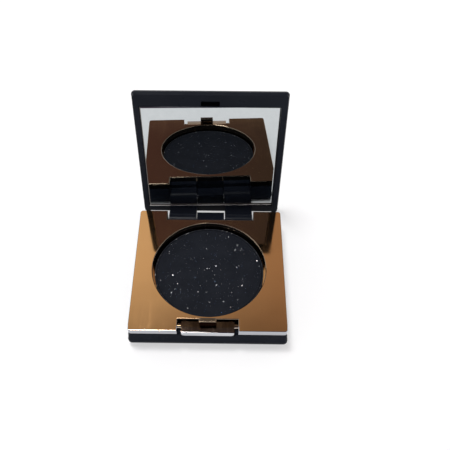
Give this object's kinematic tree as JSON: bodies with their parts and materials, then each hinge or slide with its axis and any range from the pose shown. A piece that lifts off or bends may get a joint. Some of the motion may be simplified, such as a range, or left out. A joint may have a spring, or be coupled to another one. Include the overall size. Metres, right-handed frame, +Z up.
{
  "type": "eyeshadow palette",
  "caption": "Square hinged compact for one round pan of pressed eyeshadow, with a plated frame, push-button latch and lid mirror, standing open.",
  "frame": {"origin": "centre of the flat underside of the tray, in plan the middle of the plated frame", "axes": "+X to the user's right along the hinge axis, +Y back towards the hinge, +Z up through the plated frame"},
  "size_m": [0.0508, 0.0642, 0.0508],
  "materials": {
    "black_moulding": "satin-gloss injection-moulded black ABS",
    "bronze_plating": "mirror-bright bronze electroplating on ABS",
    "mirror": "silvered glass, polished edges",
    "foam_tape": "white closed-cell foam tape",
    "adhesive": "double-sided adhesive disc",
    "tinplate": "bright pressed tinplate",
    "powder": "pressed black powder with fine silver and blue glitter",
    "spring_steel": "drawn spring wire",
    "pin_steel": "ground steel"
  },
  "bodies": {
    "base": {"base_shell": "black_moulding", "deck_frame": "bronze_plating", "eyeshadow_pan": "tinplate", "pan_adhesive": "adhesive", "eyeshadow_cake": "powder", "button_spring_left": "spring_steel", "button_spring_right": "spring_steel"},
    "lid": {"lid_shell": "black_moulding", "mirror_glass": "mirror", "mirror_adhesive": "foam_tape", "hinge_pin_left": "pin_steel", "hinge_pin_right": "pin_steel"},
    "button": {"push_button": "bronze_plating"}
  },
  "joints": [
    {"name": "lid_hinge", "type": "hinge", "parent": "base", "child": "lid", "pos_m": [0, 0.02465, 0.0029], "axis": [1, 0, 0], "range_deg": [0, 96.2]},
    {"name": "button_slide", "type": "slide", "parent": "base", "child": "button", "axis": [0, 1, 0], "range_m": [0, 0.0005], "stiffness_N_per_m": 1200, "springref_m": -0.001, "deforming": ["button_spring_left", "button_spring_right"]}
  ]
}
